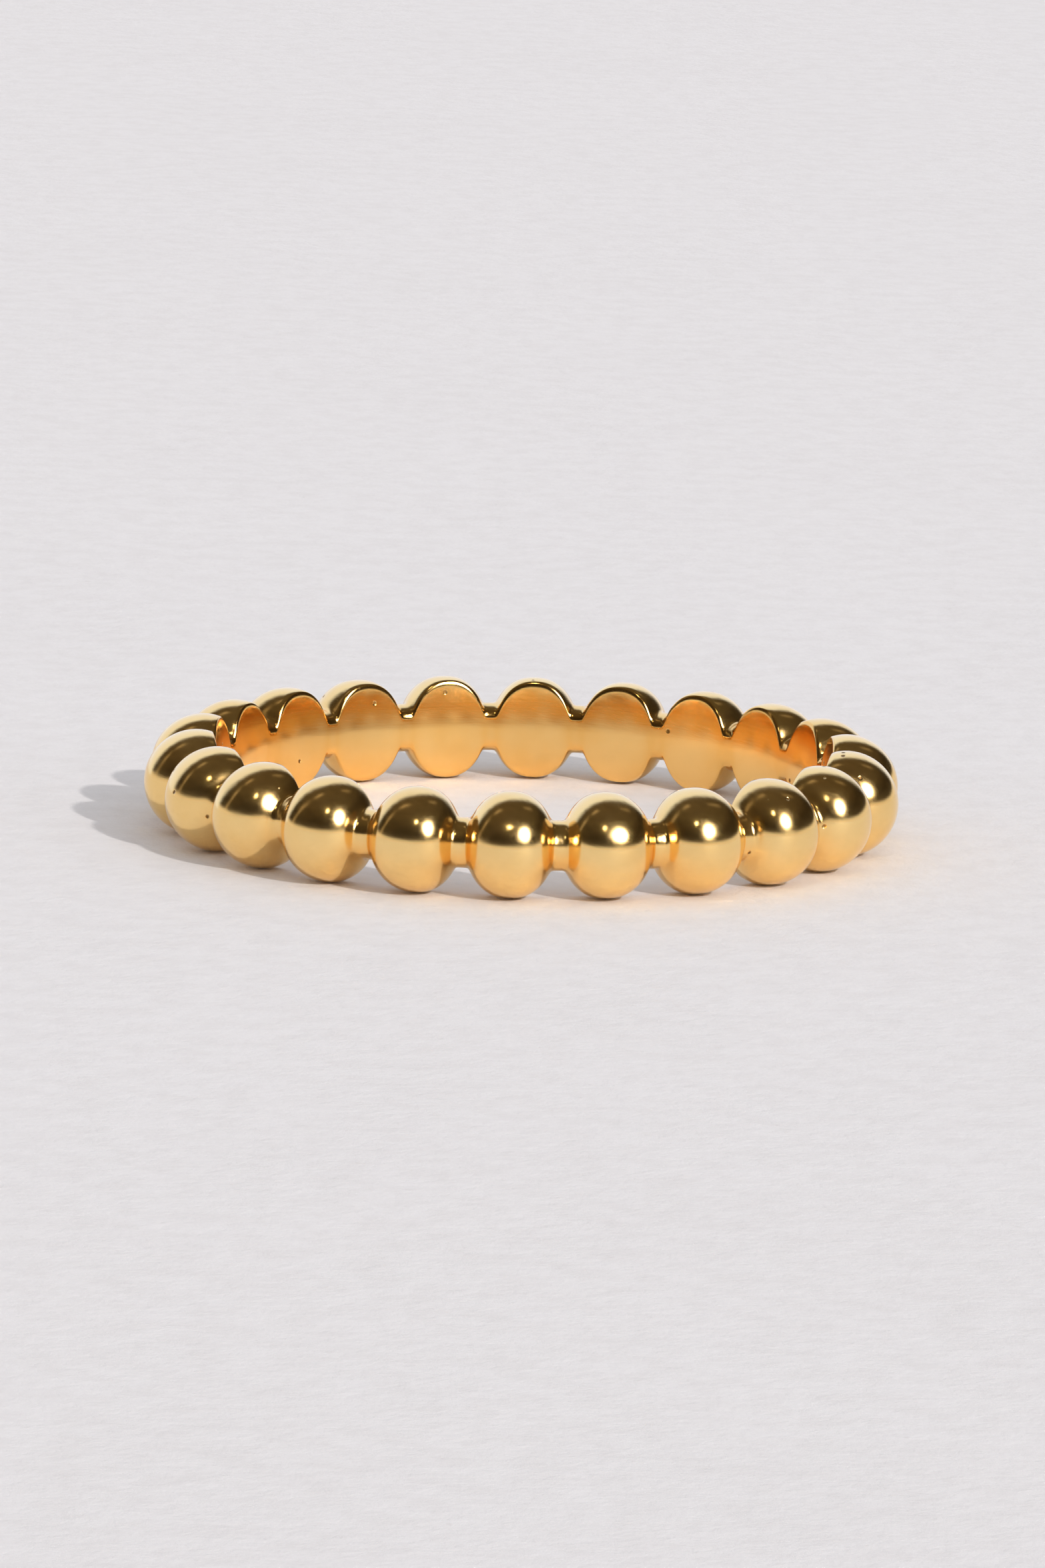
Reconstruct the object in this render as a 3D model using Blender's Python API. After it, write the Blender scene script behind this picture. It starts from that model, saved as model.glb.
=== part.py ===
"""Beaded finger ring, cast in one piece.

A closed row of rounded beads on a thin round neck, like a string of beads frozen in metal.
The inside is bored to the finger, so each bead shows a flat, polished face there and the
necks run flush with it. The ring lies on its side: the finger hole runs along +Z, and the
origin is the middle of its base. Lengths are in metres.
"""

import math

import bmesh
import bpy
from mathutils import Matrix, Vector

MM = 0.001

# Driving dimensions
BORE_DIAMETER = 17.3 * MM
BORE_INSET = 0.54 * MM
BEAD_HEIGHT = 2.96 * MM
BEAD_LENGTH = 2.48 * MM
BEAD_PITCH = 2.62 * MM
NECK_DIAMETER = 1.38 * MM
SHORTEST_NECK = 0.10 * MM

# How finely the round forms are divided
SECTION_SIDES = 16
SLICES_PER_BEAD = 12
SHARP_ANGLE = math.radians(38)
MERGE_DISTANCE = 0.001 * MM

# Where the six points of a section that meet the bore stand, as shares of half its flat
FLAT_SHARES = (1.0, 0.6, 0.2)

GOLD = {"color": (0.83, 0.56, 0.22, 1.0), "metallic": 1.0, "roughness": 0.14}

# Derived dimensions
BORE_RADIUS = BORE_DIAMETER / 2
BEAD_RADIUS = BEAD_HEIGHT / 2
NECK_RADIUS = NECK_DIAMETER / 2
CIRCLE_RADIUS = BORE_RADIUS + BORE_INSET
BEAD_COUNT = round(math.tau * CIRCLE_RADIUS / BEAD_PITCH)
BEAD_STEP = math.tau / BEAD_COUNT
FRONT = -math.pi / 2


def bead_end():
    """Where a bead gives way to its neck, as an angle on the bead's own ellipse."""
    at_neck = math.acos(NECK_RADIUS / BEAD_RADIUS)
    widest = (CIRCLE_RADIUS * BEAD_STEP - SHORTEST_NECK) / BEAD_LENGTH
    return min(at_neck, math.asin(min(widest, 1.0)))


def slice_of_bead(index):
    """The place along the band and the half height of one slice of a bead.

    The slices stand evenly on the bead's ellipse, so they crowd where it is steep, and the
    middle two straddle its crown and make a level foot there.
    """
    end = bead_end()
    spread = 2 * end / (SLICES_PER_BEAD - 1)
    angle = index * spread - end
    crown = math.cos(spread / 2)
    return math.sin(angle) * BEAD_LENGTH / 2, math.cos(angle) * BEAD_RADIUS / crown


def section_point(side, half_height):
    """One corner of a slice: its distance outwards and upwards from the bead circle.

    Corners are numbered from the outermost face, upwards over the top when side is positive
    and downwards when it is negative. The last three on each way round lie on the bore.
    """
    step = math.tau / SECTION_SIDES
    radius = half_height / math.cos(step / 2)
    order = abs(side) - 1
    up = math.copysign(1.0, side)
    round_corners = SECTION_SIDES // 2 - len(FLAT_SHARES)
    if radius <= BORE_INSET or order < round_corners:
        turn = (order + 0.5) * step
        outwards = max(radius * math.cos(turn), -BORE_INSET)
        return outwards, up * radius * math.sin(turn)
    flat = math.sqrt(radius ** 2 - BORE_INSET ** 2)
    return -BORE_INSET, up * flat * FLAT_SHARES[order - round_corners]


def blank_ring(bm, slices):
    """A plain round ring of evenly turned sections, one for each slice of the band."""
    section = bmesh.ops.create_circle(bm, segments=SECTION_SIDES, radius=BEAD_RADIUS)["verts"]
    half_side = Matrix.Rotation(math.pi / SECTION_SIDES, 3, "Z")
    upright = Matrix.Rotation(math.pi / 2, 3, "X")
    bmesh.ops.rotate(bm, verts=section, cent=(0, 0, 0), matrix=upright @ half_side)
    bmesh.ops.translate(bm, verts=section, vec=(CIRCLE_RADIUS, 0, 0))
    bmesh.ops.spin(bm, geom=list(bm.edges), cent=(0, 0, 0), axis=(0, 0, 1), dvec=(0, 0, 0),
                   angle=math.tau, steps=slices, use_merge=True)
    bmesh.ops.remove_doubles(bm, verts=list(bm.verts), dist=MERGE_DISTANCE)


def shape_beads(bm, slices):
    """Moves each section of the blank ring to its slice of a bead and trims it to the bore."""
    for vert in bm.verts:
        outwards = math.hypot(vert.co.x, vert.co.y) - CIRCLE_RADIUS
        turn = math.atan2(vert.co.z, outwards)
        order = int(abs(turn) / (math.tau / SECTION_SIDES)) + 1
        side = order if turn > 0 else -order
        number = round(math.atan2(vert.co.y, vert.co.x) / math.tau * slices) % slices
        bead, index = divmod(number, SLICES_PER_BEAD)
        along, half_height = slice_of_bead(index)
        out, up = section_point(side, half_height)
        angle = FRONT + bead * BEAD_STEP + along / CIRCLE_RADIUS
        reach = CIRCLE_RADIUS + out
        vert.co = Vector((reach * math.cos(angle), reach * math.sin(angle), up))


def stand_on_base(bm):
    """Moves the shape so that the origin is the middle of its base."""
    low = Vector(min(v.co[i] for v in bm.verts) for i in range(3))
    high = Vector(max(v.co[i] for v in bm.verts) for i in range(3))
    middle = (low + high) / 2
    bmesh.ops.translate(bm, verts=list(bm.verts), vec=(-middle.x, -middle.y, -low.z))


def gold_material():
    """Polished yellow metal."""
    material = bpy.data.materials.new("polished_gold")
    material.use_nodes = True
    shader = material.node_tree.nodes["Principled BSDF"]
    shader.inputs["Base Color"].default_value = GOLD["color"]
    shader.inputs["Metallic"].default_value = GOLD["metallic"]
    shader.inputs["Roughness"].default_value = GOLD["roughness"]
    return material


def build_band():
    """The whole ring as one closed solid."""
    slices = BEAD_COUNT * SLICES_PER_BEAD
    bm = bmesh.new()
    blank_ring(bm, slices)
    shape_beads(bm, slices)
    stand_on_base(bm)
    bmesh.ops.recalc_face_normals(bm, faces=list(bm.faces))
    mesh = bpy.data.meshes.new("beaded_band")
    bm.to_mesh(mesh)
    bm.free()
    mesh.materials.append(gold_material())
    mesh.shade_smooth()
    mesh.set_sharp_from_angle(angle=SHARP_ANGLE)
    band = bpy.data.objects.new("beaded_band", mesh)
    bpy.context.scene.collection.objects.link(band)
    return band


def clear_scene():
    """Removes what a new file holds."""
    for item in list(bpy.data.objects):
        bpy.data.objects.remove(item, do_unlink=True)


clear_scene()
build_band()
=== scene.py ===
"""Looks of a beaded finger ring, cast in one piece, that lies on a pale table.

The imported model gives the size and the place. This script makes the ring's fine surface, its
polished gold finish, the table, the studio light and the camera. Lengths are in metres, and
the patterns of the finishes are laid out in millimetres.
"""

from __future__ import annotations

import logging
import math
import random
from dataclasses import dataclass, field
from enum import Enum
from typing import Any

import bmesh
import bpy
import numpy as np
from mathutils import Matrix, Vector


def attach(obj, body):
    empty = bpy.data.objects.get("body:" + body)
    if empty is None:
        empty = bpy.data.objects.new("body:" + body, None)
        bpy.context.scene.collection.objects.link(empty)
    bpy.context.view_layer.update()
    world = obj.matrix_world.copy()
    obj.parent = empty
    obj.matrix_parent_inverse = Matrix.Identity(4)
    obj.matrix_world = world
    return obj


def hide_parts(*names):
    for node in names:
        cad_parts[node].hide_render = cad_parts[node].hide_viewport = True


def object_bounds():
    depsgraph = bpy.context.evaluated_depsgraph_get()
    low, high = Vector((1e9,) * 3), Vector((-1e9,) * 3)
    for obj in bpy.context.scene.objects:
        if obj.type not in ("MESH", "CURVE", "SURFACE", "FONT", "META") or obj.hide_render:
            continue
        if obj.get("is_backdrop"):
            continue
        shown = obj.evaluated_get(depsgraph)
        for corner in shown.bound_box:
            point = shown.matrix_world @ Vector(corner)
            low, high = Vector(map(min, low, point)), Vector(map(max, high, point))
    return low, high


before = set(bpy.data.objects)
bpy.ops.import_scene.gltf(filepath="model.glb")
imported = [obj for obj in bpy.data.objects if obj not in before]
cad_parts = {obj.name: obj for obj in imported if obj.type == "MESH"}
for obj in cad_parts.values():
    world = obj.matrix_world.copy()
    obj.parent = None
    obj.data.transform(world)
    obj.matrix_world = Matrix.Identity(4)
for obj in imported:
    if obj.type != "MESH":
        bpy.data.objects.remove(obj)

MM = 0.001
MERGE_DISTANCE = 0.0005 * MM
NOISE_MEAN = 0.5
# The mesh layer of painted shade in the corners by the necks.
NECK_SHADE_LAYER = "painted_neck_shade"
LOG = logging.getLogger("beaded_ring")

Socket = bpy.types.NodeSocket
Color = tuple[float, float, float, float]
Ends = tuple[float, float]


class Operation(Enum):
    """What a Math node does."""

    ADD = "ADD"
    SUBTRACT = "SUBTRACT"
    MULTIPLY = "MULTIPLY"
    ABOVE = "GREATER_THAN"
    ROOT = "SQRT"
    ANGLE = "ARCTAN2"


class Value:
    """A number that a shader works out, with Python's own operators."""

    def __init__(self, graph: Graph, socket: Socket) -> None:
        """Keeps the node tree and the output that holds the number.

        Args:
            graph: The tree that the number is worked out in.
            socket: The output socket that holds it.
        """
        self.graph = graph
        self.socket = socket

    def _math(self, operation: Operation, *others: Any) -> Value:
        """Adds one Math node.

        Args:
            operation: What the node does.
            others: The other operands, numbers or values.

        Returns:
            The result as a value.
        """
        sockets = {0: self, **dict(enumerate(others, start=1))}
        node = self.graph.node("ShaderNodeMath", {"operation": operation.value}, sockets)
        return Value(self.graph, node.outputs[0])

    def __add__(self, other: Any) -> Value:
        """Sum."""
        return self._math(Operation.ADD, other)

    def __radd__(self, other: Any) -> Value:
        """Sum with a number on the left."""
        return self._math(Operation.ADD, other)

    def __sub__(self, other: Any) -> Value:
        """Difference."""
        return self._math(Operation.SUBTRACT, other)

    def __rsub__(self, other: float) -> Value:
        """Difference from a number on the left."""
        return (self * -1.0) + other

    def __mul__(self, other: Any) -> Value:
        """Product."""
        return self._math(Operation.MULTIPLY, other)

    def __rmul__(self, other: Any) -> Value:
        """Product with a number on the left."""
        return self._math(Operation.MULTIPLY, other)

    def above(self, limit: float) -> Value:
        """1 where the number is above the limit, else 0."""
        return self._math(Operation.ABOVE, limit)

    def hypotenuse(self, other: Value) -> Value:
        """The length of the vector that this number and the other one make."""
        return (self * self + other * other)._math(Operation.ROOT)

    def turn(self, other: Value) -> Value:
        """The angle of the vector whose height is this number and whose width is the other."""
        return self._math(Operation.ANGLE, other)

    def ramp(self, start: float, end: float) -> Value:
        """A smooth step from 0 to 1.

        Args:
            start: Where the step starts. It may be above end, which turns the step round.
            end: Where the step ends.

        Returns:
            The step as a value.
        """
        rising = start < end
        settings = {"interpolation_type": "SMOOTHSTEP", "clamp": True}
        ends = {"From Min": min(start, end), "From Max": max(start, end),
                "To Min": 0.0 if rising else 1.0, "To Max": 1.0 if rising else 0.0}
        node = self.graph.node("ShaderNodeMapRange", settings, {"Value": self, **ends})
        return Value(self.graph, node.outputs["Result"])


@dataclass(frozen=True)
class Pattern:
    """A cloudy pattern: patches for each unit, finer layers, and how strong those are."""

    scale: float
    detail: float = 2.0
    roughness: float = 0.5


class Graph:
    """A node tree, emptied and filled again by short calls."""

    def __init__(self, tree: bpy.types.NodeTree) -> None:
        """Empties the tree.

        Args:
            tree: The node tree of a material or a world.
        """
        self.tree = tree
        tree.nodes.clear()

    def node(self, kind: str, settings: dict[str, Any] | None = None,
             sockets: dict[Any, Any] | None = None) -> bpy.types.Node:
        """Adds a node.

        Args:
            kind: The node's type.
            settings: Its properties, which are set first.
            sockets: Values or links of its inputs, by name or number.

        Returns:
            The new node.
        """
        node = self.tree.nodes.new(kind)
        for name, value in (settings or {}).items():
            setattr(node, name, value)
        for key, value in (sockets or {}).items():
            self._feed(node.inputs[key], value)
        return node

    def _feed(self, socket: Socket, value: Any) -> None:
        """Links a value or an output to an input, or sets the input's number or colour.

        Args:
            socket: The input.
            value: What it gets.
        """
        if isinstance(value, Value):
            value = value.socket
        if isinstance(value, Socket):
            self.tree.links.new(value, socket)
        else:
            socket.default_value = value

    def value(self, socket: Socket) -> Value:
        """Wraps an output socket as a number."""
        return Value(self, socket)

    def parts(self, vector: Socket) -> tuple[Value, Value, Value]:
        """Splits a vector into its three numbers.

        Args:
            vector: The output that holds the vector.

        Returns:
            Its x, y and z.
        """
        x, y, z = self.node("ShaderNodeSeparateXYZ", sockets={0: vector}).outputs
        return self.value(x), self.value(y), self.value(z)

    def vector(self, x: Any, y: Any, z: Any) -> Socket:
        """Joins three numbers into a vector."""
        return self.node("ShaderNodeCombineXYZ", sockets={0: x, 1: y, 2: z}).outputs[0]

    def place_in_mm(self) -> Socket:
        """Reads where on the piece a point lies.

        Returns:
            The output that holds the place, in millimetres from the origin.
        """
        place = self.node("ShaderNodeTexCoord").outputs["Object"]
        sockets = {0: place, "Scale": 1 / MM}
        return self.node("ShaderNodeVectorMath", {"operation": "SCALE"}, sockets).outputs[0]

    def mix(self, share: Any, first: Any, second: Any) -> Socket:
        """Puts two colours together.

        Args:
            share: How much of the second colour, from 0 to 1.
            first: A colour, or the output that holds it.
            second: The other colour.

        Returns:
            The output that holds the result.
        """
        settings = {"data_type": "RGBA", "blend_type": "MIX"}
        node = self.node("ShaderNodeMix", settings, {0: share, 6: first, 7: second})
        return node.outputs[2]

    def noise(self, vector: Any, pattern: Pattern) -> Value:
        """Adds a cloudy pattern.

        Args:
            vector: Where it is read.
            pattern: How it looks.

        Returns:
            The pattern, about NOISE_MEAN on average.
        """
        sockets = {"Vector": vector, "Scale": pattern.scale, "Detail": pattern.detail,
                   "Roughness": pattern.roughness}
        node = self.node("ShaderNodeTexNoise", {"noise_dimensions": "3D"}, sockets)
        return self.value(node.outputs["Fac"])


def empty_material(name: str) -> tuple[bpy.types.Material, Graph]:
    """Makes a material whose tree waits to be filled.

    Args:
        name: The material's name.

    Returns:
        The material and its empty tree.
    """
    material = bpy.data.materials.new(name)
    material.use_nodes = True
    return material, Graph(material.node_tree)


@dataclass(frozen=True)
class Marks:
    """The patterns that the gold's colour, polish and relief share, each from 0 to 1."""

    bore: Value
    lines: Value
    scratches: Value
    pits: Value


@dataclass(frozen=True)
class PolishedGold:
    """Polished yellow gold plating, worn a little, with fine lines in the bore.

    bore_margins and pit_ends are in millimetres. The first is how far beyond the bore's radius
    its wall ends.
    """

    bore_radius: float
    bright: Color = (0.99, 0.70, 0.30, 1.0)
    deep: Color = (0.91, 0.525, 0.155, 1.0)
    pit_color: Color = (0.16, 0.07, 0.02, 1.0)
    # Painted shade: how far the gold deepens in the corners by the necks, standing in for the
    # neighbouring beads' reflections.
    neck_shade_share: float = 0.35
    cloud_share: float = 0.32
    # Painted shade: deeper gold on the bore's wall, standing in for the gold's reflections of
    # itself.
    bore_shade_share: float = 0.6
    pit_share: float = 0.85
    roughness: float = 0.16
    smudge_roughness: float = 0.07
    scratch_roughness: float = 0.09
    line_roughness: float = 0.09
    bore_polish: float = 0.03
    pit_roughness: float = 0.4
    wave_height: float = 0.0035 * MM
    line_height: float = 0.0008 * MM
    scratch_height: float = 0.00064 * MM
    pit_depth: float = 0.02 * MM
    bore_margins: Ends = (0.15, 0.09)
    lines: Pattern = Pattern(1.0, 4.0, 0.7)
    lines_round: float = 1.4
    lines_up: float = 11.0
    strokes: Pattern = Pattern(1.6, 5.0, 0.7)
    stroke_along: float = 1.1
    stroke_across: float = 9.0
    stroke_slant: tuple[float, float, float] = (0.7, 0.5, 2.0)
    pits_per_mm: float = 2.0
    pit_ends: Ends = (0.15, 0.06)
    pit_rarity: float = 0.88
    clouds: Pattern = Pattern(0.7, 3.0)
    cloud_ends: Ends = (0.35, 0.75)
    smudges: Pattern = Pattern(1.3, 4.0, 0.6)
    smudge_ends: Ends = (0.45, 0.8)
    waves: Pattern = Pattern(0.9, 1.0)

    def build(self) -> bpy.types.Material:
        """Makes the material.

        Returns:
            The finished material.
        """
        material, graph = empty_material("polished_gold")
        spot = graph.place_in_mm()
        marks = Marks(self._bore_mask(graph, spot), self._bore_lines(graph, spot),
                      self._scratches(graph, spot), self._pits(graph, spot))
        shader = graph.node("ShaderNodeBsdfPrincipled", sockets={
            "Base Color": self._color(graph, spot, marks),
            "Metallic": 1.0,
            "Roughness": self._roughness(graph, spot, marks),
            "Normal": self._relief(graph, spot, marks)})
        graph.node("ShaderNodeOutputMaterial", sockets={"Surface": shader.outputs[0]})
        return material

    def _bore_mask(self, graph: Graph, spot: Socket) -> Value:
        """Tells the bore's wall from beads and necks.

        Args:
            graph: The material's tree.
            spot: The place on the ring, in millimetres.

        Returns:
            1 on the bore's wall, 0 elsewhere.
        """
        x, y, _ = graph.parts(spot)
        start, end = (self.bore_radius / MM + margin for margin in self.bore_margins)
        return x.hypotenuse(y).ramp(start, end)

    def _bore_lines(self, graph: Graph, spot: Socket) -> Value:
        """Fine lines that run round the bore, from polishing on a turning stick.

        Args:
            graph: The material's tree.
            spot: The place on the ring, in millimetres.

        Returns:
            The lines, about NOISE_MEAN on average.
        """
        x, y, z = graph.parts(spot)
        place = graph.vector(x.turn(y) * self.lines_round, 0.0, z * self.lines_up)
        return graph.noise(place, self.lines)

    def _scratches(self, graph: Graph, spot: Socket) -> Value:
        """Hair-fine marks of wear that run in long slanted strokes.

        Args:
            graph: The material's tree.
            spot: The place on the ring, in millimetres.

        Returns:
            The marks, about NOISE_MEAN on average.
        """
        x, y, z = graph.parts(spot)
        slant_x, slant_y, slant_z = self.stroke_slant
        strokes = graph.vector(x * self.stroke_along + z * slant_x,
                               y * self.stroke_along - z * slant_y,
                               z * self.stroke_across + x * slant_z)
        return graph.noise(strokes, self.strokes)

    def _pits(self, graph: Graph, spot: Socket) -> Value:
        """A few tiny round casting pits.

        Args:
            graph: The material's tree.
            spot: The place on the ring, in millimetres.

        Returns:
            1 inside a pit, 0 elsewhere.
        """
        sockets = {"Vector": spot, "Scale": self.pits_per_mm, "Randomness": 1.0}
        cells = graph.node("ShaderNodeTexVoronoi", {"feature": "F1"}, sockets)
        near = graph.value(cells.outputs["Distance"]).ramp(*self.pit_ends)
        chance = graph.node("ShaderNodeSeparateColor", sockets={0: cells.outputs["Color"]})
        return near * graph.value(chance.outputs[0]).above(self.pit_rarity)

    def _color(self, graph: Graph, spot: Socket, marks: Marks) -> Socket:
        """Yellow gold that deepens in clouds, with painted shade on the bore's wall and in the
        corners by the necks, and with dark pits.

        Args:
            graph: The material's tree.
            spot: The place on the ring, in millimetres.
            marks: The patterns of the gold.

        Returns:
            The output that holds the colour.
        """
        attribute = graph.node("ShaderNodeAttribute", {"attribute_name": NECK_SHADE_LAYER})
        painted_neck_shade = graph.value(attribute.outputs["Fac"])
        clouds = graph.noise(spot, self.clouds).ramp(*self.cloud_ends)
        # Painted shade: the gold deepens in the corners by the necks and on the bore's wall, where
        # it would mirror itself.
        depth = (painted_neck_shade * self.neck_shade_share + clouds * self.cloud_share
                 + marks.bore * self.bore_shade_share)
        tone = graph.mix(depth, self.bright, self.deep)
        return graph.mix(marks.pits * self.pit_share, tone, self.pit_color)

    def _roughness(self, graph: Graph, spot: Socket, marks: Marks) -> Value:
        """Polished all over, a little more so in the bore, and duller in smudges and pits.

        Args:
            graph: The material's tree.
            spot: The place on the ring, in millimetres.
            marks: The patterns of the gold.

        Returns:
            The roughness.
        """
        smudges = graph.noise(spot, self.smudges).ramp(*self.smudge_ends)
        scratches = (marks.scratches - NOISE_MEAN) * self.scratch_roughness
        worn = self.roughness + smudges * self.smudge_roughness + scratches
        lines = (marks.lines - NOISE_MEAN) * self.line_roughness - self.bore_polish
        return worn + marks.bore * lines + marks.pits * self.pit_roughness

    def _relief(self, graph: Graph, spot: Socket, marks: Marks) -> Socket:
        """The slow waves of hand polishing, the lines of the bore, fine marks and pits.

        Args:
            graph: The material's tree.
            spot: The place on the ring, in millimetres.
            marks: The patterns of the gold.

        Returns:
            The output that holds the normal.
        """
        waves = graph.noise(spot, self.waves)
        height = waves * self.wave_height + marks.lines * marks.bore * self.line_height
        height = height + marks.scratches * self.scratch_height - marks.pits * self.pit_depth
        node = graph.node("ShaderNodeBump", sockets={
            "Strength": 1.0, "Distance": self.wave_height,
            "Height": height * (1 / self.wave_height)})
        return node.outputs[0]


@dataclass(frozen=True)
class PaleTable:
    """Pale, faintly mottled matt plaster."""

    light: Color = (0.83, 0.80, 0.81, 1.0)
    dark: Color = (0.72, 0.68, 0.68, 1.0)
    patch_share: float = 0.08
    mottling_share: float = 0.30
    speck_share: float = 0.5
    roughness: float = 0.76
    gloss: float = 0.25
    grain_height: float = 0.10 * MM
    grain_strength: float = 0.6
    patches: Pattern = Pattern(0.08, 3.0)
    patch_ends: Ends = (0.35, 0.8)
    mottling: Pattern = Pattern(0.9, 4.0, 0.6)
    mottling_ends: Ends = (0.35, 0.7)
    grain: Pattern = Pattern(2.2, 6.0, 0.65)
    speck_ends: Ends = (0.62, 0.74)

    def build(self) -> bpy.types.Material:
        """Makes the material.

        Returns:
            The finished material.
        """
        material, graph = empty_material("pale_table")
        spot = graph.place_in_mm()
        grain = graph.noise(spot, self.grain)
        bump = graph.node("ShaderNodeBump", sockets={
            "Strength": self.grain_strength, "Distance": self.grain_height, "Height": grain})
        shader = graph.node("ShaderNodeBsdfPrincipled", sockets={
            "Base Color": self._color(graph, spot, grain), "Roughness": self.roughness,
            "Specular IOR Level": self.gloss, "Normal": bump.outputs[0]})
        graph.node("ShaderNodeOutputMaterial", sockets={"Surface": shader.outputs[0]})
        return material

    def _color(self, graph: Graph, spot: Socket, grain: Value) -> Socket:
        """Pale plaster with large patches, finer mottling and specks.

        Args:
            graph: The material's tree.
            spot: The place on the table, in millimetres.
            grain: The fine pattern that the specks and the relief share.

        Returns:
            The output that holds the colour.
        """
        patches = graph.noise(spot, self.patches).ramp(*self.patch_ends)
        mottling = graph.noise(spot, self.mottling).ramp(*self.mottling_ends)
        share = (patches * self.patch_share + mottling * self.mottling_share
                 + grain.ramp(*self.speck_ends) * self.speck_share)
        return graph.mix(share, self.light, self.dark)


@dataclass
class BeadedBand:
    """The whole ring: beads on a thin neck, bored smooth inside."""

    bead_radius: float
    outer_radius: float
    bore_inset: float = 0.54 * MM
    bead_half_length: float = 1.23 * MM
    bead_fullness: float = 2.25
    neck_radius: float = 0.69 * MM
    bead_count: int = 22
    neck_fillet: float = 0.19 * MM
    bore_edge: float = 0.13 * MM
    bore_crown: float = 0.090 * MM
    crown_power: float = 1.5
    # Where and how wide the painted shade by the necks lies.
    neck_shade_place: float = 0.9
    neck_shade_width: float = 0.45 * MM
    neck_shade_fall: float = 1.4
    largest_size: float = 0.997
    size_spread: float = 0.016
    place_spread: float = 0.018
    slices_per_bead: int = 44
    outline_samples: int = 801
    half_rows: int = 32
    rows_to_edge: int = 18
    rows_in_edge: int = 6
    seed: int = 7
    sizes: list[float] = field(default_factory=list)
    angles: list[float] = field(default_factory=list)

    def __post_init__(self) -> None:
        """Works out the bead circle and gives each bead its own small differences."""
        self.circle_radius = self.outer_radius - self.bead_radius
        self.bore_radius = self.circle_radius - self.bore_inset
        self.step = math.tau / self.bead_count
        self.half_pitch = self.circle_radius * self.step / 2
        self.slices = self.bead_count * self.slices_per_bead
        front = -math.pi / 2
        chance = random.Random(self.seed)
        for number in range(self.bead_count):
            self.sizes.append(self.largest_size - chance.random() * self.size_spread)
            drift = (chance.random() - 0.5) * 2 * self.place_spread
            self.angles.append(front + (number + drift) * self.step)

    def build(self) -> bpy.types.Object:
        """Makes the ring's mesh and its object.

        Returns:
            The ring, not yet dressed.
        """
        bm = bmesh.new()
        self._blank(bm)
        # A layer for the painted shade in the corners by the necks.
        painted_neck_shade = bm.verts.layers.float.new(NECK_SHADE_LAYER)
        self._shape(bm, painted_neck_shade)
        bmesh.ops.recalc_face_normals(bm, faces=list(bm.faces))
        mesh = bpy.data.meshes.new("gold_band")
        bm.to_mesh(mesh)
        bm.free()
        mesh.shade_smooth()
        band = bpy.data.objects.new("gold_band", mesh)
        bpy.context.scene.collection.objects.link(band)
        return band

    def dress(self, band: bpy.types.Object) -> None:
        """Gives the ring its finish and its place in the frame.

        Args:
            band: The ring that build made.
        """
        band.data.materials.append(PolishedGold(self.bore_radius).build())
        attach(band, "root")
        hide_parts("beaded_band")

    def _blank(self, bm: bmesh.types.BMesh) -> None:
        """Spins a plain ring of round sections, which _shape then moves into place.

        Args:
            bm: The empty mesh that gets the blank ring.
        """
        section = bmesh.ops.create_circle(
            bm, segments=2 * self.half_rows, radius=self.bead_radius)["verts"]
        upright = Matrix.Rotation(math.pi / 2, 3, "X")
        bmesh.ops.rotate(bm, verts=section, cent=(0, 0, 0), matrix=upright)
        bmesh.ops.translate(bm, verts=section, vec=(self.circle_radius, 0, 0))
        bmesh.ops.spin(bm, geom=list(bm.edges), cent=(0, 0, 0), axis=(0, 0, 1), dvec=(0, 0, 0),
                       angle=math.tau, steps=self.slices, use_merge=True)
        bmesh.ops.remove_doubles(bm, verts=list(bm.verts), dist=MERGE_DISTANCE)

    def _shape(self, bm: bmesh.types.BMesh, painted_neck_shade: Any) -> None:
        """Moves each point of the blank to its place on a bead, a neck or the bore.

        Args:
            bm: The blank ring.
            painted_neck_shade: The layer that gets the painted shade by the necks: how deep in the
                corner by a neck a point lies.
        """
        places = self._slice_places()
        row_step = math.pi / self.half_rows
        for vert in bm.verts:
            outwards = math.hypot(vert.co.x, vert.co.y) - self.circle_radius
            turn = math.atan2(vert.co.z, outwards)
            row = round(abs(turn) / row_step)
            number = round(math.atan2(vert.co.y, vert.co.x) / math.tau * self.slices)
            bead, index = divmod(number % self.slices, self.slices_per_bead)
            along = places[index]
            radius = self._profile(along, self.sizes[bead])
            out, up = self._section(row, radius)
            reach = self.circle_radius + out
            angle = self._angle(bead, along)
            height = self.bead_radius + math.copysign(up, vert.co.z)
            vert.co = Vector((reach * math.cos(angle), reach * math.sin(angle), height))
            # Painted shade by the necks, kept for the gold's colour.
            vert[painted_neck_shade] = self._neck_shade_depth(along, radius)

    def _slice_places(self) -> list[float]:
        """Spreads the slices of one bead and its necks evenly over its outline.

        Returns:
            Their places along the row, from the bead's middle.
        """
        fine = np.linspace(-self.half_pitch, self.half_pitch, self.outline_samples)
        heights = np.array([self._profile(place, 1.0) for place in fine])
        ways = np.concatenate(([0.0], np.cumsum(np.hypot(np.diff(fine), np.diff(heights)))))
        middles = (np.arange(self.slices_per_bead) + 0.5) / self.slices_per_bead * ways[-1]
        return [float(place) for place in np.interp(middles, ways, fine)]

    def _profile(self, along: float, size: float) -> float:
        """Half height of the bead row, with a fillet by the neck.

        Args:
            along: A place along the row, from the bead's middle.
            size: The bead's size, as a share of a full one.

        Returns:
            The half height there.
        """
        share = 1.0 - abs(along / self.bead_half_length) ** self.bead_fullness
        bead = self.bead_radius * size * math.sqrt(max(share, 0.0))
        return smooth_max(bead, self.neck_radius, self.neck_fillet)

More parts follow.
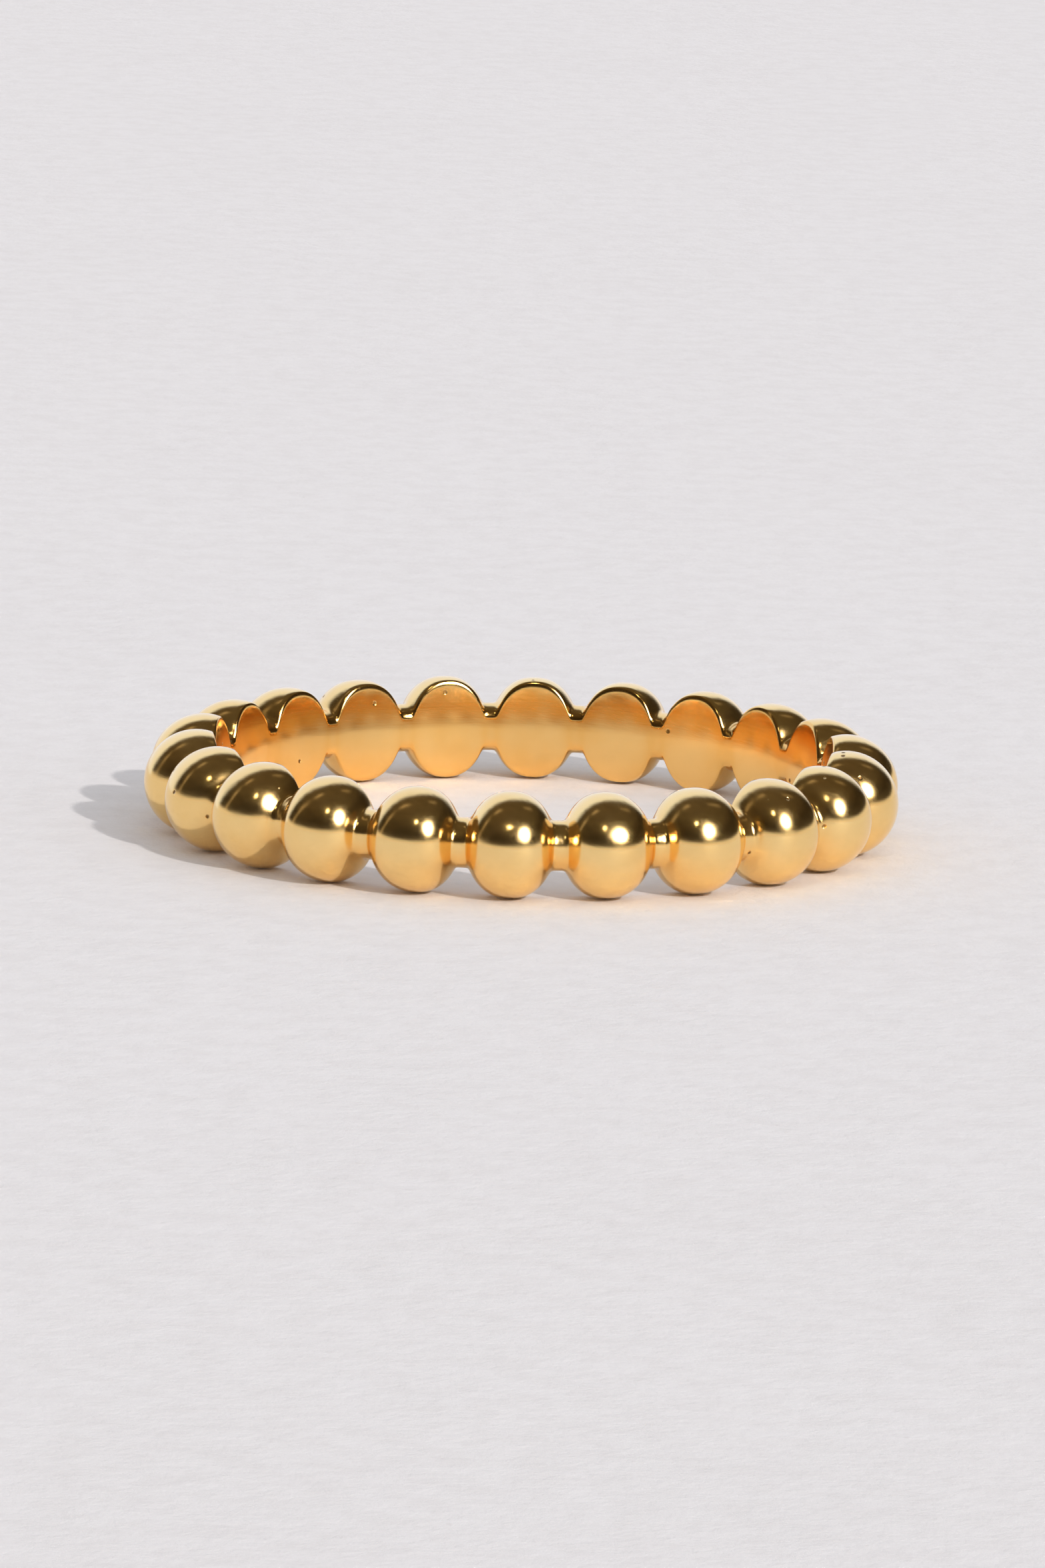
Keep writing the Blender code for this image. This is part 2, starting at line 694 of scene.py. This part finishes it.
    def _section(self, row: int, radius: float) -> tuple[float, float]:
        """One point of a slice: how far outwards and upwards from the bead circle.

        Args:
            row: 0 at the outermost point, up to half_rows at the middle of the bore's wall.
            radius: The slice's half height.

        Returns:
            The distance outwards and the distance upwards, on the upper half.
        """
        corner = math.acos(-self.bore_inset / radius)
        flat = radius * math.sin(corner)
        start = corner - self.bore_edge / radius
        if row <= self.rows_to_edge:
            turn = start * row / self.rows_to_edge
            return radius * math.cos(turn), radius * math.sin(turn)
        last = self.rows_to_edge + self.rows_in_edge
        if row >= last:
            share = (self.half_rows - row) / (self.half_rows - last)
            up = (flat - self.bore_edge) * share
            return self._wall(up), up
        share = (row - self.rows_to_edge) / self.rows_in_edge
        begin = Vector((radius * math.cos(start), radius * math.sin(start)))
        bend = Vector((self._wall(flat), flat))
        end = Vector((self._wall(flat - self.bore_edge), flat - self.bore_edge))
        point = begin.lerp(bend, share).lerp(bend.lerp(end, share), share)
        return point.x, point.y

    def _wall(self, up: float) -> float:
        """How far out the bore's wall stands: polishing has eased it away at top and bottom."""
        return self.bore_crown * abs(up / self.bead_radius) ** self.crown_power - self.bore_inset

    def _angle(self, bead: int, along: float) -> float:
        """Where a place along a bead's stretch lies round the ring.

        Args:
            bead: The bead's number.
            along: The place, from the bead's middle.

        Returns:
            Its angle, where the bead's stretch ends half way to its neighbours.
        """
        here = self.angles[bead]
        if along < 0:
            gap = here - self.angles[bead - 1]
        else:
            gap = self.angles[(bead + 1) % self.bead_count] - here
        return here + along / self.half_pitch * (gap % math.tau) / 2

    def _neck_shade_depth(self, along: float, radius: float) -> float:
        """How deep in the corner between a bead and its neck a place lies, which sets the painted
        shade there.

        Args:
            along: The place, from the bead's middle.
            radius: The half height there.

        Returns:
            The depth, from 0 to 1, which is how much painted shade the place gets.
        """
        height = (radius - self.neck_radius) / (self.bead_radius - self.neck_radius)
        corner = self.bead_half_length * self.neck_shade_place
        off_corner = abs(abs(along) - corner) / self.neck_shade_width
        return max(0.0, 1.0 - height * self.neck_shade_fall) * max(0.0, 1.0 - off_corner)


def smooth_max(first: float, second: float, width: float) -> float:
    """The larger of two numbers, with a rounded change from one to the other.

    Args:
        first: One number.
        second: The other.
        width: How near they are where the rounding starts.

    Returns:
        The rounded maximum.
    """
    near = max(width - abs(first - second), 0.0) / width
    return max(first, second) + near * near * width / 4


@dataclass(frozen=True)
class Direction:
    """A direction in the studio, seen from the ring, in degrees.

    Azimuth 0 is the front, and it grows to the right.
    """

    azimuth: float
    elevation: float

    def vector(self) -> Vector:
        """Turns the two angles into a vector.

        Returns:
            The unit vector towards the direction.
        """
        turn, rise = math.radians(self.azimuth), math.radians(self.elevation)
        level = math.cos(rise)
        return Vector((math.sin(turn) * level, -math.cos(turn) * level, math.sin(rise)))


KEY_SIDE = Direction(38.0, 30.0)
GLINT_SIDE = Direction(-2.0, 48.0)
WALL_SIDE = Direction(-161.4, 13.2)


@dataclass(frozen=True)
class Lamp:
    """A far lamp that lights from one direction. Its spread is in degrees."""

    name: str
    toward: Direction
    strength: float
    spread: float
    color: tuple[float, float, float]

    def build(self) -> bpy.types.Object:
        """Makes the lamp and points it at the ring.

        Returns:
            The lamp.
        """
        light = bpy.data.lights.new(self.name, "SUN")
        light.energy = self.strength
        light.angle = math.radians(self.spread)
        light.color = self.color
        lamp = bpy.data.objects.new(self.name, light)
        lamp.rotation_euler = self.toward.vector().to_track_quat("Z", "Y").to_euler()
        bpy.context.scene.collection.objects.link(lamp)
        return lamp


@dataclass(frozen=True)
class Surround:
    """What the camera, the polished metal and the matt table see of the studio.

    The camera sees a plain backdrop and the table gets soft light from all round. The metal
    sees a room: a bright wall behind with a fainter arch of light round it, a dark front under
    a warm ceiling, a pale low band, and a bright disc where the key lamp is. Reaches, widths
    and blurs are in degrees. Heights are the vertical part of a unit vector.
    """

    wall: Direction = WALL_SIDE
    wall_reach: float = 45.2
    wall_blur: float = 7.0
    wall_color: Color = (0.90, 1.0, 1.25, 1.0)
    wall_waves: float = 0.17
    ripples: Pattern = Pattern(6.0, 4.0, 0.65)
    arch_reach: float = 66.0
    arch_width: float = 7.0
    arch_inner_blur: float = 3.0
    arch_outer_blur: float = 2.0
    arch_color: Color = (0.40, 0.33, 0.23, 1.0)
    streaks: Pattern = Pattern(2.0, 2.0)
    streak_ends: Ends = (0.42, 0.62)
    room_color: Color = (0.024, 0.017, 0.007, 1.0)
    ceiling_color: Color = (0.085, 0.064, 0.036, 1.0)
    ceiling_heights: Ends = (0.3, 0.95)
    ceiling_share: float = 0.8
    clutter: Pattern = Pattern(1.2, 3.0, 0.55)
    clutter_round: float = 1.5
    clutter_up: float = 7.0
    clutter_ends: Ends = (0.40, 0.75)
    clutter_share: float = 0.35
    band_color: Color = (0.80, 0.76, 0.72, 1.0)
    band_heights: Ends = (0.14, 0.08)
    ambient: Color = (0.95, 0.97, 1.0, 1.0)
    ambient_strength: float = 0.68
    key: Direction = KEY_SIDE
    key_reach: float = 11.0
    key_blur: float = 3.0
    key_color: Color = (22.0, 21.0, 19.6, 1.0)
    backdrop: Color = (0.80, 0.785, 0.79, 1.0)

    def build(self) -> bpy.types.World:
        """Makes the world.

        Returns:
            The world, already the scene's own.
        """
        world = bpy.data.worlds.new("studio")
        world.use_nodes = True
        graph = Graph(world.node_tree)
        seen = self._glow(graph, self.backdrop, 1.0)
        soft = self._glow(graph, self.ambient, self.ambient_strength)
        gleam = self._glow(graph, self._room(graph), 1.0)
        path = graph.node("ShaderNodeLightPath")
        metal = graph.node("ShaderNodeMixShader", sockets={
            0: path.outputs["Is Glossy Ray"], 1: soft, 2: gleam})
        mixed = graph.node("ShaderNodeMixShader", sockets={
            0: path.outputs["Is Camera Ray"], 1: metal.outputs[0], 2: seen})
        graph.node("ShaderNodeOutputWorld", sockets={"Surface": mixed.outputs[0]})
        bpy.context.scene.world = world
        return world

    def _glow(self, graph: Graph, color: Any, strength: float) -> Socket:
        """Light of one colour, or of a colour that differs by direction."""
        sockets = {"Color": color, "Strength": strength}
        return graph.node("ShaderNodeBackground", sockets=sockets).outputs[0]

    def _room(self, graph: Graph) -> Socket:
        """Paints the room that the metal sees.

        Args:
            graph: The world's tree.

        Returns:
            The output that holds the room's colour in each direction.
        """
        way = graph.node("ShaderNodeTexCoord").outputs["Generated"]
        x, y, up = graph.parts(way)
        ripples = (graph.noise(way, self.ripples) - NOISE_MEAN) * self.wall_waves
        wall = self._disc(graph, way, self.wall, self.wall_reach, self.wall_blur, ripples)
        key = self._disc(graph, way, self.key, self.key_reach, self.key_blur)
        clutter = graph.noise(
            graph.vector(x * self.clutter_round, y * self.clutter_round, up * self.clutter_up),
            self.clutter).ramp(*self.clutter_ends)
        ceiling = up.ramp(*self.ceiling_heights)
        share = ceiling * self.ceiling_share + clutter * self.clutter_share
        dark = graph.mix(share, self.room_color, self.ceiling_color)
        lit = graph.mix(self._arch(graph, way, ripples), dark, self.arch_color)
        low = graph.mix(up.ramp(*self.band_heights), lit, self.band_color)
        return graph.mix(key, graph.mix(wall, low, self.wall_color), self.key_color)

    def _arch(self, graph: Graph, way: Socket, ripples: Value) -> Value:
        """The arch of light round the bright wall.

        Args:
            graph: The world's tree.
            way: The direction that is looked in.
            ripples: What makes its edges uneven.

        Returns:
            1 in the arch, where a streak of it shows, and 0 elsewhere.
        """
        outer_reach = self.arch_reach + self.arch_width
        outer = self._disc(graph, way, self.wall, outer_reach, self.arch_outer_blur, ripples)
        inner = self._disc(graph, way, self.wall, self.arch_reach, self.arch_inner_blur, ripples)
        return outer * (1.0 - inner) * graph.noise(way, self.streaks).ramp(*self.streak_ends)

    def _disc(self, graph: Graph, way: Socket, middle: Direction, reach: float,
              blur: float, ripples: Any = 0.0) -> Value:
        """A round patch of the room, with a soft edge.

        Args:
            graph: The world's tree.
            way: The direction that is looked in.
            middle: The direction of the patch's middle.
            reach: Half its width.
            blur: Half the width of its edge.
            ripples: What makes its edge uneven, as a share of the cosine.

        Returns:
            1 in the patch, 0 elsewhere.
        """
        sockets = {0: way, 1: middle.vector()}
        dot = graph.node("ShaderNodeVectorMath", {"operation": "DOT_PRODUCT"}, sockets)
        wide, narrow = math.radians(reach + blur), math.radians(reach - blur)
        return (graph.value(dot.outputs["Value"]) + ripples).ramp(math.cos(wide), math.cos(narrow))


@dataclass(frozen=True)
class Table:
    """The pale table that the ring lies on."""

    half_width: float = 1.5

    def build(self) -> bpy.types.Object:
        """Makes the table top and marks it as stage.

        Returns:
            The table top.
        """
        bm = bmesh.new()
        bmesh.ops.create_grid(bm, x_segments=1, y_segments=1, size=self.half_width)
        mesh = bpy.data.meshes.new("table_top")
        bm.to_mesh(mesh)
        bm.free()
        mesh.materials.append(PaleTable().build())
        table = bpy.data.objects.new("table_top", mesh)
        bpy.context.scene.collection.objects.link(table)
        table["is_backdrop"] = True
        return table


@dataclass(frozen=True)
class PhotoCamera:
    """The photograph's viewpoint, with a longer lens so that the ring fills the frame.

    Elevation, azimuth and roll are in degrees, and the sensor is in millimetres.
    """

    target: Vector
    ring_width: float
    distance: float = 288.0 * MM
    elevation: float = 10.41
    azimuth: float = 1.59
    roll: float = 1.61
    share_of_width: float = 0.72
    sensor: float = 24.0
    nearest: float = 0.01
    farthest: float = 10.0

    def build(self) -> bpy.types.Object:
        """Makes the camera and makes it the scene's own.

        Returns:
            The camera.
        """
        data = bpy.data.cameras.new("photo_camera")
        data.sensor_fit = "HORIZONTAL"
        data.sensor_width = self.sensor
        data.lens = self.sensor * self.distance * self.share_of_width / self.ring_width
        data.clip_start = self.nearest
        data.clip_end = self.farthest
        camera = bpy.data.objects.new("photo_camera", data)
        toward = Direction(self.azimuth, self.elevation).vector()
        camera.location = self.target + toward * self.distance
        aim = toward.to_track_quat("Z", "Y").to_matrix().to_4x4()
        turned = aim @ Matrix.Rotation(math.radians(self.roll), 4, "Z")
        camera.rotation_euler = turned.to_euler()
        bpy.context.scene.collection.objects.link(camera)
        bpy.context.scene.camera = camera
        return camera


def main() -> None:
    """Builds the ring, the table, the light and the camera in order."""
    logging.basicConfig(level=logging.INFO, format="%(name)s: %(message)s")
    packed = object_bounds()
    low, high = (Vector(corner) for corner in packed)
    ring = BeadedBand(bead_radius=(high.z - low.z) / 2, outer_radius=(high.y - low.y) / 2)
    band = ring.build()
    ring.dress(band)
    LOG.info("%s: %d faces", band.name, len(band.data.polygons))
    top = Table()
    LOG.info("%s: %.1f m wide", top.build().name, 2 * top.half_width)
    lamps = [
        Lamp("key", KEY_SIDE, strength=1.9, spread=2.0, color=(1.0, 0.97, 0.93)),
        Lamp("front_glint", GLINT_SIDE, strength=0.10, spread=5.0, color=(1.0, 0.90, 0.62)),
    ]
    for lamp in lamps:
        LOG.info("%s: %.2f strong", lamp.build().name, lamp.strength)
    Surround().build()
    camera = PhotoCamera(target=(low + high) / 2, ring_width=high.x - low.x).build()
    LOG.info("%s: %.0f mm lens", camera.name, camera.data.lens)
    bpy.context.scene.view_settings.view_transform = "Standard"
    bpy.context.scene.view_settings.look = "None"


if __name__ == "__main__":
    main()
